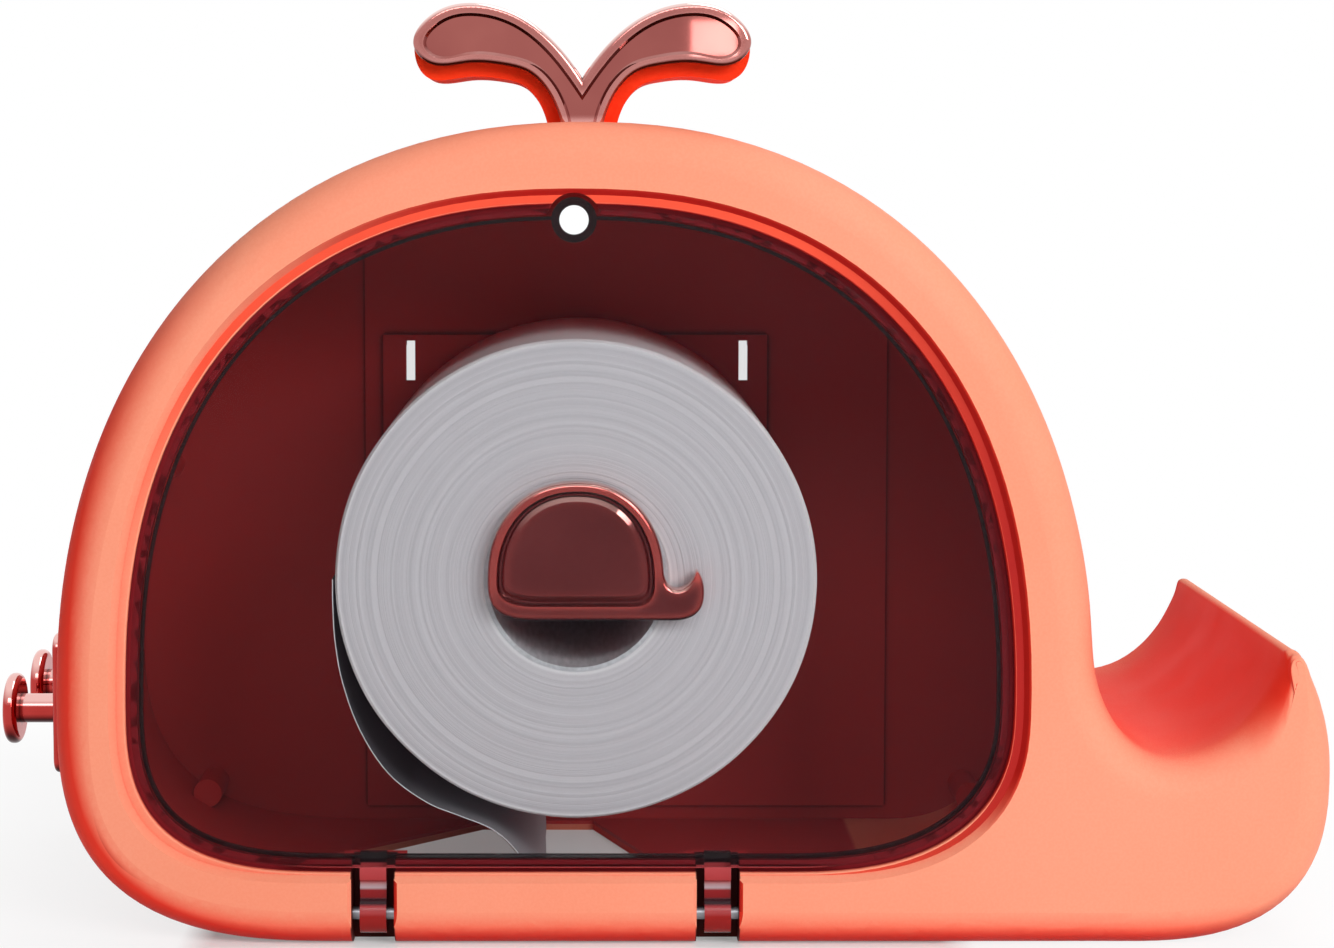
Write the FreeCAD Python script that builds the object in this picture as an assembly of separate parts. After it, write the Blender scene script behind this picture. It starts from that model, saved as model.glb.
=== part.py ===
import FreeCAD, Part
import math
import os

os.makedirs("parts", exist_ok=True)
V = FreeCAD.Vector

# A whale-shaped holder for one toilet roll. It stands on its flat base or hangs on a wall.
# While modelling, X = 0 is under the roll's axis, Y = 0 is the front face and +Y runs to the
# wall, and Z = 0 is the base. All sizes are in millimetres.

# ---- Body ----
wall = 2.6
face_wall = 3.0
edge_round = 9.0
back_round = 1.0
base_left_x = -55.0
base_right_x = 130.0

# ---- Dome ----
dome_top_z = 193.4
dome_apex_x = 2.5
dome_left_x = -122.4
dome_right_x = 122.0
dome_belly_z = 56.0
dome_power = 2.2
corner_power = 2.8
chamber_corner = 40.0

# ---- Tail ----
tail_right_x = 177.8
tail_belly_z = 41.0
tail_power = 2.65
tail_back_radius = 52.0
tail_tip_z = 68.6
tail_tip_radius = 2.2
tray_x = 140.0
tray_top_z = 72.0
tray_tip_z = 82.0
tray_floor_z = 44.4

# ---- Door opening ----
ring_left = 13.6
ring_right = 16.0
ring_top = 15.4
ring_bottom = 15.9
opening_apex_x = -0.2
opening_belly_z = 58.0
opening_power = 2.35
opening_corner = 52.0
opening_left_power = 3.0
opening_right_power = 2.5
step_width = 1.5
step_depth = 1.8
ledge_width = 3.6
ledge_bottom_rise = 2.0
ledge_round = 0.4
lip_width = 2.4
lip_thickness = 2.4
collar_wall = 2.4

# ---- Door ----
door_front_y = 2.6
door_thickness = 2.0
door_gap = 1.0
door_bottom_gap = 0.9
door_edge_round = 0.5
door_rib_gap = 0.4
door_rib_wall = 0.9
door_rib_depth = 1.6
pull_hole_radius = 3.4
pull_boss_wall = 1.9
pull_hole_x = -0.4
pull_hole_drop = 7.3

# ---- Hinge ----
hinge_y = 6.0
hinge_z = 7.3
hinge_left_x = -47.6
hinge_right_x = 33.3
strap_width = 6.2
strap_gap = 1.9
strap_thickness = 4.0
strap_step = 1.0
strap_step_z = 16.0
groove_chamfer = 0.8
knuckle_radius = 4.6
knuckle_gap = 0.7
pin_radius = 1.5
pin_clearance = 0.05
pin_overhang = 2.0
pocket_wall = 2.4

# ---- Roll and spindle ----
roll_z = 85.2
roll_radius = 57.5
roll_width = 97.5
roll_front_y = 14.0
roll_back_gap = 0.5
core_inner_radius = 20.9
core_wall = 1.0
spindle_radius = 14.0
spindle_wall = 2.4
spindle_rest_gap = 0.3
flange_radius = 24.0
flange_thickness = 3.0
spindle_boss_radius = 3.2
spindle_boss_length = 12.0
spindle_boss_floor = 2.0
spindle_screw_circle = 7.5
spindle_screw_count = 3

# ---- Spindle cap ----
cap_scale = 0.17
cap_thickness = 4.2
cap_base_drop = 15.5
cap_round = 1.4
cap_rim = 2.1
cap_rim_foot = 1.3
cap_rim_slope = 0.7
cap_recess = 1.3
cap_groove = 0.4
cap_panel_slope = 1.4
cap_panel_drop = 0.5
cap_roll_gap = 1.4
plug_length = 9.0
plug_wall = 2.0
plug_floor = 2.0
plug_clearance = 0.1

# ---- Rear panel ----
panel_thickness = 3.0
panel_gap = 0.2
step_pad_height = 0.8
step_pad_margin = 4.1
step_pad_left_x = -58.0
step_pad_right_x = 85.0
bracket_pad_height = 1.2
bracket_left_x = -53.0
bracket_right_x = 52.0
bracket_bottom_z = 66.0
bracket_top_z = 137.5
bracket_margin = 3.0
bracket_pocket_depth = 2.5
slot_x = 45.5
slot_width = 2.5
slot_length = 11.0
slot_top_drop = 1.6
hang_hole_radius = 4.1
hang_hole_left = 0.4
hang_hole_drop = 1.9

# ---- Screws and their bosses ----
screw_radius = 1.45
screw_head_radius = 2.7
screw_head_height = 1.8
screw_socket_radius = 0.9
screw_socket_depth = 1.0
panel_screw_length = 10.0
boss_radius = 3.8
boss_length = 16.0
boss_overlap = 1.0

# ---- Paper outlet in the floor ----
outlet_left_x = -77.5
outlet_right_x = 23.0
outlet_front_y = 14.0
outlet_shoulder_y = 66.0
outlet_back_gap = 1.5
outlet_back_left_x = -26.0
outlet_back_right_x = 4.5

# ---- Loose paper ----
paper_thickness = 0.3
paper_roll_gap = 0.35
paper_margin = 0.75
paper_bottom_z = 0.8
paper_exit_x = -9.0
# Angle round the roll, and how far the loose paper hangs off it there.
paper_slack = [(180, 0.0), (186, 0.3), (194.4, 1.4), (204, 3.1), (215.2, 5.3), (226.2, 7.1),
               (236.3, 7.0), (243.9, 6.0), (251.3, 6.1)]

# ---- Spout ----
spout_x = 1.5
trim_front_y = 12.0
trim_thickness = 5.0
trim_round = 1.3
trim_rim = 2.4
trim_rim_slope = 0.7
trim_rim_drop = 0.6
trim_recess = 0.9
spout_depth = 24.0
spout_wall = 2.2
spout_drop = 3.1
spout_screw_length = 14.0
spout_screw_gap = 0.05
spout_screw_inset = 6.0

# ---- Hooks on the left flank ----
hook_plate_thickness = 3.8
hook_plate_front_y = 22.0
hook_plate_back_y = 97.0
hook_plate_bottom_z = 36.5
hook_plate_top_z = 70.5
hook_plate_round = 4.0
hook_plate_edge_round = 1.0
hook_z = 48.8
hook_ys = {"front": 43.0, "rear": 76.0}
hook_reach = 15.0
hook_head_radius = 8.7
hook_head_thickness = 3.4
hook_stem_radius = 3.6
hook_stud_radius = 2.0
hook_nut_radius = 4.0
hook_nut_height = 3.2
hook_nut_gap = 0.5
hook_stud_overrun = 0.8

# ---- Values that follow from the ones above ----
# The chamber is as deep as the roll, its gaps and what carries the spindle behind it.
flange_front_y = roll_front_y + roll_width + roll_back_gap
bracket_front_y = flange_front_y + flange_thickness
panel_front_y = bracket_front_y + bracket_pad_height + step_pad_height
depth = panel_front_y + panel_thickness
opening_top_z = dome_top_z - ring_top
pull_hole_z = opening_top_z - pull_hole_drop
hang_hole_x = pull_hole_x - hang_hole_left
hang_hole_z = pull_hole_z - hang_hole_drop
slot_top_z = bracket_top_z - slot_top_drop
spindle_z = roll_z + core_inner_radius - spindle_radius - spindle_rest_gap
spindle_bore = spindle_radius - spindle_wall
cap_back_y = roll_front_y - cap_roll_gap
cap_front_y = cap_back_y - cap_thickness
cap_base_z = spindle_z - cap_base_drop
door_back_y = door_front_y + door_thickness
lip_back_y = door_back_y + lip_thickness
seat_bottom_z = ring_bottom + ledge_bottom_rise
door_bottom_z = seat_bottom_z + door_bottom_gap
pull_boss_radius = pull_hole_radius + pull_boss_wall
outlet_back_y = panel_front_y - outlet_back_gap
trim_back_y = trim_front_y + trim_thickness
spout_back_y = trim_back_y + spout_depth
spout_screw_ys = [trim_back_y + spout_screw_inset, spout_back_y - spout_screw_inset]
hook_plate_x = dome_left_x - hook_plate_thickness
hook_end_x = hook_plate_x - hook_reach
far = 400.0


# ---- Outline curves ----
def ellipse_points(center, half, power, start, stop, steps, inset=0.0):
    """Points of a superellipse from start to stop degrees, moved inwards by inset(z) or inset."""
    points = []
    for i in range(steps + 1):
        angle = math.radians(start + (stop - start) * i / steps)
        c = math.cos(angle)
        s = math.sin(angle)
        x = center[0] + half[0] * math.copysign(abs(c) ** (2 / power), c)
        z = center[1] + half[1] * math.copysign(abs(s) ** (2 / power), s)
        nx = math.copysign(abs(c) ** (2 - 2 / power), c) / half[0]
        nz = math.copysign(abs(s) ** (2 - 2 / power), s) / half[1]
        size = math.hypot(nx, nz)
        move = inset(z) if callable(inset) else inset
        points.append((x - move * nx / size, z - move * nz / size))
    return points


def spline_edge(points, y):
    curve = Part.BSplineCurve()
    curve.interpolate(Points=[V(x, y, z) for x, z in points])
    return curve.toShape()


def closed_wire(points, y):
    """One smooth curve through the points and a flat base line back to its start."""
    curve = spline_edge(points, y)
    first = V(points[0][0], y, points[0][1])
    last = V(points[-1][0], y, points[-1][1])
    return Part.Wire([curve, Part.makeLine(last, first)])


def dome_outline(apex_x, top_z, bottom_z, left_x, right_x, belly_z, power,
                 left_corner, right_corner, left_power, right_power):
    """Returns a function of an inset that gives the points of a dome with a flat base."""
    def points(inset=0.0):
        height = top_z - belly_z
        drop = belly_z - bottom_z
        right = ellipse_points((right_x - right_corner, belly_z), (right_corner, drop),
                               right_power, 270, 360, 7, inset)
        right += ellipse_points((apex_x, belly_z), (right_x - apex_x, height),
                                power, 0, 90, 10, inset)[1:]
        left = ellipse_points((apex_x, belly_z), (apex_x - left_x, height),
                              power, 90, 180, 10, inset)[1:]
        left += ellipse_points((left_x + left_corner, belly_z), (left_corner, drop),
                               left_power, 180, 270, 7, inset)[1:]
        return right + left
    return points


def tail_outer_x(z):
    rise = max(z - tail_belly_z, 0)
    return tail_right_x - tail_back_radius + math.sqrt(tail_back_radius ** 2 - rise ** 2)


def tip_geometry():
    """Angle of the tail's back at its tip, and the centre of the tip's small round."""
    angle = math.asin((tail_tip_z - tail_belly_z) / tail_back_radius)
    reach = tail_back_radius - tail_tip_radius
    center_x = tail_right_x - tail_back_radius + reach * math.cos(angle)
    return math.degrees(angle), (center_x, tail_belly_z + reach * math.sin(angle))


def whale_outline(inset=0.0):
    """The whole silhouette: base, tail, tray, dome. The inset shrinks where the tail is thin."""
    tip_angle, tip = tip_geometry()
    tray_depth = tray_top_z - tray_floor_z
    tip_depth = tray_tip_z - tray_floor_z
    lean = math.asin((tray_tip_z - tip[1]) / tip_depth)
    tray_right = (tip[0] - tail_tip_radius * math.cos(lean) - tray_x) / math.cos(lean)

    def tapered(z):
        inner_x = tray_x
        if z > tray_floor_z:
            part = (tray_tip_z - min(z, tail_tip_z)) / tip_depth
            inner_x = tray_x + tray_right * math.sqrt(max(1 - part ** 2, 0))
        room = max(0.75 * (tail_outer_x(min(z, tail_tip_z)) - inner_x) / 2, 0.7)
        return inset * (1 + (edge_round / room) ** 6) ** (-1 / 6)

    def outward(z):
        return -tapered(z)

    height = dome_top_z - dome_belly_z
    tray_part = ((tray_top_z - dome_belly_z) / height) ** (dome_power / 2)
    tray_angle = math.degrees(math.asin(tray_part))
    dome_half = dome_right_x - dome_apex_x
    flank_x = dome_apex_x + dome_half * math.cos(math.radians(tray_angle)) ** (2 / dome_power)
    points = ellipse_points((base_right_x, tail_belly_z), (tail_right_x - base_right_x,
                            tail_belly_z), tail_power, 270, 360, 8, tapered)
    points += ellipse_points((tail_right_x - tail_back_radius, tail_belly_z),
                             (tail_back_radius, tail_back_radius), 2, 0, tip_angle, 6,
                             tapered)[1:]
    lean_angle = math.degrees(lean)
    points += ellipse_points(tip, (tail_tip_radius, tail_tip_radius), 2,
                             tip_angle, 180 - lean_angle, 4, tapered)[1:-1]
    points += ellipse_points((tray_x, tray_tip_z), (tray_right, tip_depth), 2,
                             -lean_angle, -90, 8, outward)
    points += ellipse_points((tray_x, tray_top_z), (tray_x - flank_x, tray_depth), 2,
                             270, 184, 7, -inset)[1:]
    points += ellipse_points((dome_apex_x, dome_belly_z), (dome_half, height),
                             dome_power, tray_angle + 3, 90, 9, inset)
    points += ellipse_points((dome_apex_x, dome_belly_z), (dome_apex_x - dome_left_x, height),
                             dome_power, 90, 180, 10, inset)[1:]
    points += ellipse_points((base_left_x, dome_belly_z), (base_left_x - dome_left_x,
                             dome_belly_z), corner_power, 180, 270, 8, inset)[1:]
    return points


def prism(outline, y0, y1, inset=0.0):
    face = Part.Face(closed_wire(outline(inset), y0))
    return face.extrude(V(0, y1 - y0, 0))


def lofted(outline, sections):
    """A smooth solid through the outline at each (y, inset)."""
    wires = [closed_wire(outline(inset), y) for y, inset in sections]
    return Part.makeLoft(wires, True, False)


def rounded_prism(outline, y0, y1, inset=0.0, front=0.0, back=0.0):
    """A prism whose front and back edges are rounded."""
    turns = [math.radians(a) for a in (0, 22.5, 45, 67.5, 90)]
    solids = []
    if front:
        sections = [(y0 + front * (1 - math.cos(a)), inset + front * (1 - math.sin(a)))
                    for a in turns]
        solids.append(lofted(outline, sections))
    solids.insert(0, prism(outline, y0 + front, y1 - back, inset))
    if back:
        sections = [(y1 - back + back * math.sin(a), inset + back * (1 - math.cos(a)))
                    for a in turns]
        solids.append(lofted(outline, sections))
    body = solids[0]
    for extra in solids[1:]:
        body = body.fuse(extra)
    return body


def opening_outline(margin, bottom_margin):
    """The opening's outline, moved inwards by margin, and at its base by bottom_margin."""
    return dome_outline(opening_apex_x, opening_top_z - margin, ring_bottom + bottom_margin,
                        dome_left_x + ring_left + margin, dome_right_x - ring_right - margin,
                        opening_belly_z, opening_power, opening_corner, opening_corner,
                        opening_left_power, opening_right_power)


opening = opening_outline(0, 0)
seat = opening_outline(ledge_width, ledge_bottom_rise)
door_outline = opening_outline(ledge_width + door_gap, ledge_bottom_rise + door_bottom_gap)
chamber = dome_outline(dome_apex_x, dome_top_z, 0.0, dome_left_x, dome_right_x, dome_belly_z,
                       dome_power, base_left_x - dome_left_x, chamber_corner,
                       corner_power, corner_power)


# ---- Simple solids ----
def cylinder(x, y, z, radius, length, direction):
    return Part.makeCylinder(radius, length, V(x, y, z), direction)


def box(x0, x1, y0, y1, z0, z1):
    return Part.makeBox(x1 - x0, y1 - y0, z1 - z0, V(x0, y0, z0))


BACKWARD = V(0, 1, 0)
FORWARD = V(0, -1, 0)
RIGHT = V(1, 0, 0)
UP = V(0, 0, 1)
outer_body = rounded_prism(whale_outline, 0, depth, 0, edge_round, back_round)
outer_prism = prism(whale_outline, -1, depth + 1)


# ---- Main shell ----
def tail_region(y0, y1, inset):
    """The space in the tail below the tray, as far as the chamber's corner."""
    ceiling_z = tray_floor_z - inset
    corner = ellipse_points((base_right_x, tail_belly_z), (tail_right_x - base_right_x,
                            tail_belly_z), tail_power, 270, 350, 8, inset)
    curve = spline_edge(corner, y0)
    places = [V(corner[-1][0], y0, corner[-1][1]), V(corner[-1][0], y0, ceiling_z),
              V(base_right_x - chamber_corner, y0, ceiling_z),
              V(base_right_x - chamber_corner, y0, inset), V(corner[0][0], y0, inset)]
    wire = Part.Wire([curve] + Part.makePolygon(places).Edges)
    return Part.Face(wire).extrude(V(0, y1 - y0, 0))


def panel_blank(y0, y1, gap):
    """The rear panel's outline: chamber and tail hollow in one plate."""
    plate = prism(chamber, y0, y1, wall + gap)
    return plate.fuse(tail_region(y0, y1, wall + gap))


def hinge_pocket(x):
    half = strap_width / 2 + strap_gap + pocket_wall
    back = hinge_y + knuckle_radius + knuckle_gap + pocket_wall
    return box(x - half, x + half, 0, back, 0, seat_bottom_z + lip_width)


def hinge_groove(x):
    """A groove through the front of the floor, with chamfered front edges."""
    half = strap_width / 2 + strap_gap
    mouth = half + groove_chamfer + 1
    back = hinge_y + knuckle_radius + knuckle_gap
    top = door_bottom_z + lip_width + 2 * door_rib_wall
    places = [(-mouth, -1), (mouth, -1), (half, groove_chamfer), (half, back), (-half, back),
              (-half, groove_chamfer)]
    points = [V(x + side, y, -1) for side, y in places]
    return Part.Face(Part.makePolygon(points + points[:1])).extrude(V(0, 0, top + 1))


def floor_outlet():
    places = [(outlet_left_x, outlet_front_y), (outlet_right_x, outlet_front_y),
              (outlet_right_x, outlet_shoulder_y), (outlet_back_right_x, outlet_back_y),
              (outlet_back_left_x, outlet_back_y), (outlet_left_x, outlet_shoulder_y)]
    points = [V(x, y, -1) for x, y in places]
    face = Part.Face(Part.makePolygon(points + points[:1]))
    return face.extrude(V(0, 0, 2 * wall))


def opening_cutter():
    """A sloped step, a ledge, the door's recess and the hole inside the lip."""
    step = lofted(opening, [(share * step_depth, share * step_width)
                            for share in (-0.5, -0.25, 0, 0.25, 0.5, 0.75, 1)])
    turns = [math.radians(a) for a in (0, 45, 90)]
    mouth = lofted(seat, [(step_depth + ledge_round * (1 - math.cos(a)),
                           -ledge_round * (1 - math.sin(a))) for a in turns])
    recess = prism(seat, step_depth + ledge_round / 2, door_back_y)
    window = prism(seat, 0, lip_back_y + 1, lip_width)
    notch = cylinder(pull_hole_x, -1, pull_hole_z, pull_boss_radius + door_gap,
                     lip_back_y + 2, BACKWARD)
    return [step, mouth, recess, window, notch]


def panel_screw_places():
    """Six places along the chamber's wall and one in the tail's corner."""
    inset = wall + boss_radius - boss_overlap
    around = chamber(inset)
    places = [around[i] for i in (3, 10, 14, 21, 25, 31)]
    corner = ellipse_points((base_right_x, tail_belly_z), (tail_right_x - base_right_x,
                            tail_belly_z), tail_power, 270, 360, 8, inset)
    return places + [corner[5]]


def make_main_shell():
    room = rounded_prism(chamber, face_wall, depth + 1, wall, edge_round - wall)
    tail_room = tail_region(edge_round, depth + 1, wall).cut(prism(chamber, 0, depth + 2))
    kept = [prism(opening, -1, lip_back_y, -collar_wall)]
    kept += [hinge_pocket(x) for x in (hinge_left_x, hinge_right_x)]
    kept += [cylinder(x, panel_front_y - boss_length, z, boss_radius, boss_length, BACKWARD)
             for x, z in panel_screw_places()]
    shell = outer_body.cut([room.cut(kept), tail_room.cut(kept)])
    cutters = opening_cutter()
    cutters.append(panel_blank(panel_front_y, depth + 1, 0))
    cutters.append(floor_outlet())
    for x in (hinge_left_x, hinge_right_x):
        cutters.append(hinge_groove(x))
        cutters.append(pin_solid(x))
    for x, z in panel_screw_places():
        cutters.append(cylinder(x, panel_front_y - panel_screw_length, z, screw_radius,
                                panel_screw_length + 1, BACKWARD))
    for y in spout_screw_ys:
        cutters.append(cylinder(spout_x, y, dome_top_z - 3 * wall, screw_radius,
                                4 * wall, UP))
    for y in hook_ys.values():
        cutters.append(hook_stud(y))
    for cutter in cutters:
        shell = shell.cut(cutter)
    return shell


# ---- Door ----
def pin_length():
    return strap_width + 2 * (strap_gap + pin_overhang)


def pin_solid(x, extra=0.0):
    half = pin_length() / 2
    return cylinder(x - half, hinge_y, hinge_z, pin_radius + extra, 2 * half, RIGHT)


def door_strap(x):
    left = x - strap_width / 2
    knuckle = cylinder(left, hinge_y, hinge_z, knuckle_radius, strap_width, RIGHT)
    top = door_bottom_z + lip_width + door_rib_wall
    back = door_front_y + strap_thickness
    neck = box(left, left + strap_width, door_front_y + strap_step, back, hinge_z, top)
    block = box(left, left + strap_width, door_front_y, back, strap_step_z, top)
    return knuckle.fuse([neck, block])


def make_door_panel():
    plate = rounded_prism(door_outline, door_front_y, door_back_y, 0, door_edge_round)
    rib_inset = lip_width - door_gap + door_rib_gap
    rib = prism(door_outline, door_back_y - 0.5, door_back_y + door_rib_depth, rib_inset)
    rib = rib.cut(prism(door_outline, door_back_y - 1, door_back_y + door_rib_depth + 1,
                        rib_inset + door_rib_wall))
    boss = cylinder(pull_hole_x, door_front_y, pull_hole_z, pull_boss_radius,
                    door_thickness + door_rib_depth, BACKWARD)
    straps = [door_strap(x) for x in (hinge_left_x, hinge_right_x)]
    door = plate.fuse([rib, boss] + straps)
    hole = cylinder(pull_hole_x, 0, pull_hole_z, pull_hole_radius, far, BACKWARD)
    bores = [pin_solid(x, pin_clearance) for x in (hinge_left_x, hinge_right_x)]
    return door.cut([hole] + bores)


# ---- Rear panel ----
def panel_holes():
    holes = [cylinder(hang_hole_x, 0, hang_hole_z, hang_hole_radius, far, BACKWARD)]
    for side in (-1, 1):
        middle = side * slot_x
        holes.append(box(middle - slot_width / 2, middle + slot_width / 2, 0, far,
                         slot_top_z - slot_length, slot_top_z))
    return holes


def spindle_screw_places():
    places = []
    for i in range(spindle_screw_count):
        angle = math.radians(90 + 360 * i / spindle_screw_count)
        places.append((spindle_screw_circle * math.cos(angle),
                       spindle_z + spindle_screw_circle * math.sin(angle)))
    return places


def make_rear_panel():
    plate = panel_blank(panel_front_y, depth, panel_gap)
    pad_front = panel_front_y - step_pad_height
    pad = prism(chamber, pad_front, panel_front_y, wall + step_pad_margin)
    pad = pad.common(box(step_pad_left_x, step_pad_right_x, 0, far, 0, far))
    bracket = box(bracket_left_x, bracket_right_x, bracket_front_y, panel_front_y,
                  bracket_bottom_z, bracket_top_z)
    pocket = box(bracket_left_x + bracket_margin, bracket_right_x - bracket_margin,
                 depth - bracket_pocket_depth, depth + 1,
                 bracket_bottom_z + bracket_margin, bracket_top_z - bracket_margin)
    cutters = panel_holes() + [pocket]
    for x, z in panel_screw_places():
        cutters.append(cylinder(x, 0, z, screw_radius, far, BACKWARD))
        cutters.append(cylinder(x, depth - screw_head_height, z, screw_head_radius, far,
                                BACKWARD))
        pad = pad.cut(cylinder(x, 0, z, boss_radius + panel_gap, far, BACKWARD))
    for x, z in spindle_screw_places():
        cutters.append(cylinder(x, 0, z, screw_radius, far, BACKWARD))
    return plate.fuse([pad, bracket]).cut(cutters)


# ---- Screws ----
def screw(x, y, z, length, direction):
    """A pan-head screw; (x, y, z) is under the head and direction is the way it is driven."""
    head = cylinder(x, y, z, screw_head_radius, screw_head_height, direction * -1)
    shank = cylinder(x, y, z, screw_radius, length, direction)
    socket = cylinder(x, y, z, screw_socket_radius, screw_head_height, direction * -1)
    socket.translate(direction * -(screw_head_height - screw_socket_depth))
    return head.fuse(shank).cut(socket)


def make_rear_panel_screws():
    seat_y = depth - screw_head_height
    length = seat_y - panel_front_y + panel_screw_length
    return Part.makeCompound([screw(x, seat_y, z, length, FORWARD)
                              for x, z in panel_screw_places()])


def make_spindle_screws():
    seat_y = depth - bracket_pocket_depth
    length = seat_y - flange_front_y + spindle_boss_length - spindle_boss_floor
    return Part.makeCompound([screw(x, seat_y, z, length, FORWARD)
                              for x, z in spindle_screw_places()])


# ---- Spindle, cap and roll ----
def make_spindle():
    flange = cylinder(0, flange_front_y, spindle_z, flange_radius, flange_thickness, BACKWARD)
    tube_length = flange_front_y - cap_back_y
    tube = cylinder(0, cap_back_y, spindle_z, spindle_radius, tube_length, BACKWARD)
    tube = tube.cut(cylinder(0, cap_back_y - 1, spindle_z, spindle_bore, tube_length + 1,
                             BACKWARD))
    posts = []
    drills = []
    for x, z in spindle_screw_places():
        posts.append(cylinder(x, flange_front_y - spindle_boss_length, z, spindle_boss_radius,
                              spindle_boss_length, BACKWARD))
        drills.append(cylinder(x, flange_front_y - spindle_boss_length + spindle_boss_floor, z,
                               screw_radius, far, BACKWARD))
    return flange.fuse([tube] + posts).cut(drills)


def cap_outline(inset=0.0):
    return [(x * cap_scale, cap_base_z + z * cap_scale)
            for x, z in whale_outline(inset / cap_scale)]


def cap_field(margin):
    """The dome of the small whale, drawn in by margin on all sides."""
    left_corner = (base_left_x - dome_left_x) * cap_scale - margin / 2
    right_corner = chamber_corner * cap_scale - margin / 2
    outline = dome_outline(dome_apex_x * cap_scale, cap_base_z + dome_top_z * cap_scale - margin,
                           cap_base_z + cap_rim_foot + margin,
                           dome_left_x * cap_scale + margin, dome_right_x * cap_scale - margin,
                           cap_base_z + dome_belly_z * cap_scale, dome_power,
                           left_corner, right_corner, corner_power, corner_power)
    return outline()


def make_spindle_cap():
    """A small whale with a raised rim round a sunk panel, on a plug that fits the spindle."""
    plate = rounded_prism(cap_outline, cap_front_y, cap_back_y, 0, cap_round)
    floor_inset = cap_rim + cap_rim_slope
    recess = lofted(cap_field, [(cap_front_y - cap_recess, cap_rim - cap_rim_slope),
                                (cap_front_y, cap_rim),
                                (cap_front_y + cap_recess, floor_inset)])
    panel = lofted(cap_field, [(cap_front_y + cap_recess, floor_inset + cap_groove),
                               (cap_front_y + cap_panel_drop,
                                floor_inset + cap_groove + cap_panel_slope)])
    plug_radius = spindle_bore - plug_clearance
    plug = cylinder(0, cap_back_y, spindle_z, plug_radius, plug_length, BACKWARD)
    hollow = cylinder(0, cap_back_y + plug_floor, spindle_z, plug_radius - plug_wall,
                      plug_length, BACKWARD)
    return plate.cut(recess.cut(panel)).fuse(plug.cut(hollow))


def tube_y(z, outer, inner, y0, length):
    solid = cylinder(0, y0, z, outer, length, BACKWARD)
    return solid.cut(cylinder(0, y0 - 1, z, inner, length + 2, BACKWARD))


def make_paper_web():
    """The loose paper: down the roll's left side, under it, and out through the floor."""
    reach = roll_radius + paper_roll_gap + paper_thickness
    outer = [((reach + slack) * math.cos(math.radians(angle)),
              roll_z + (reach + slack) * math.sin(math.radians(angle)))
             for angle, slack in paper_slack]
    last_x, last_z = outer[-1]
    for left in (0.8, 0.5, 0.25, 0.0):
        outer.append((paper_exit_x + (last_x - paper_exit_x) * left ** 2.7,
                      paper_bottom_z + (last_z - paper_bottom_z) * left))
    inner = [(outer[0][0] + paper_thickness, outer[0][1])]
    for before, here, after in zip(outer, outer[1:], outer[2:]):
        dx = after[0] - before[0]
        dz = after[1] - before[1]
        size = math.hypot(dx, dz)
        inner.append((here[0] - paper_thickness * dz / size,
                      here[1] + paper_thickness * dx / size))
    inner.append((outer[-1][0] + paper_thickness, paper_bottom_z))
    y0 = roll_front_y + paper_margin
    bottom = Part.makeLine(V(outer[-1][0], y0, outer[-1][1]), V(inner[-1][0], y0, inner[-1][1]))
    top = Part.makeLine(V(inner[0][0], y0, inner[0][1]), V(outer[0][0], y0, outer[0][1]))
    face = Part.Face(Part.Wire([spline_edge(outer, y0), bottom, spline_edge(inner[::-1], y0),
                                top]))
    return face.extrude(V(0, roll_width - 2 * paper_margin, 0))


# ---- Spout ----
# Half of the V: distance from its middle and height over the dome's top.
leaf_points = [(0.0, 10.3), (4.3, 16.2), (10.1, 21.9), (16.4, 25.7), (25.5, 27.7),
               (35.2, 25.0), (39.4, 17.8), (35.6, 13.6), (27.0, 13.7), (18.0, 13.2),
               (12.4, 11.5), (8.8, 8.2), (6.3, 3.8), (4.3, -5.4)]
leaf_end = 6


def leaf_half(drop=0.0, inset=0.0):
    """One half of the V, lowered by drop on its under side or moved inwards by inset."""
    half = []
    for i, (u, z) in enumerate(leaf_points):
        before = leaf_points[max(i - 1, 0)]
        after = leaf_points[min(i + 1, len(leaf_points) - 1)]
        du = after[0] - before[0]
        dz = after[1] - before[1]
        size = math.hypot(du, dz)
        move = drop if i > leaf_end else 0.0
        half.append((u + (inset - move) * dz / size,
                     dome_top_z + z - (inset - move) * du / size))
    notch_drop = inset / math.sin(math.atan2(leaf_points[1][0],
                                             leaf_points[1][1] - leaf_points[0][1]))
    half[0] = (0.0, dome_top_z + leaf_points[0][1] - notch_drop)
    return half


def spout_wire(y, drop=0.0, inset=0.0):
    """Two leaves that rise in a V from one stem."""
    half = leaf_half(drop, inset)
    right = spline_edge([(spout_x + u, z) for u, z in half], y)
    left = spline_edge([(spout_x - u, z) for u, z in half[::-1]], y)
    foot_u, foot_z = half[-1]
    foot = Part.makeLine(V(spout_x + foot_u, y, foot_z), V(spout_x - foot_u, y, foot_z))
    return Part.Wire([right, foot, left])


def on_dome(shape):
    """What of a shape lies outside the body's outer surface."""
    return shape.cut(outer_prism)


def make_spout_trim():
    """A plate with a rounded rim round a sunk face."""
    front = Part.Face(spout_wire(trim_front_y))
    trim = front.extrude(V(0, trim_thickness, 0))
    edges = [e for e in trim.Edges
             if abs(e.BoundBox.YMin - trim_front_y) < 0.01 and e.BoundBox.YLength < 0.01
             and e.BoundBox.ZMax > dome_top_z]
    trim = trim.makeFillet(trim_round, edges)
    wires = [spout_wire(trim_front_y + side * trim_recess, trim_rim_drop,
                        trim_rim + side * trim_rim_slope) for side in (-1, 0, 1)]
    return on_dome(trim.cut(Part.makeLoft(wires, True, False)))


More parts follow.
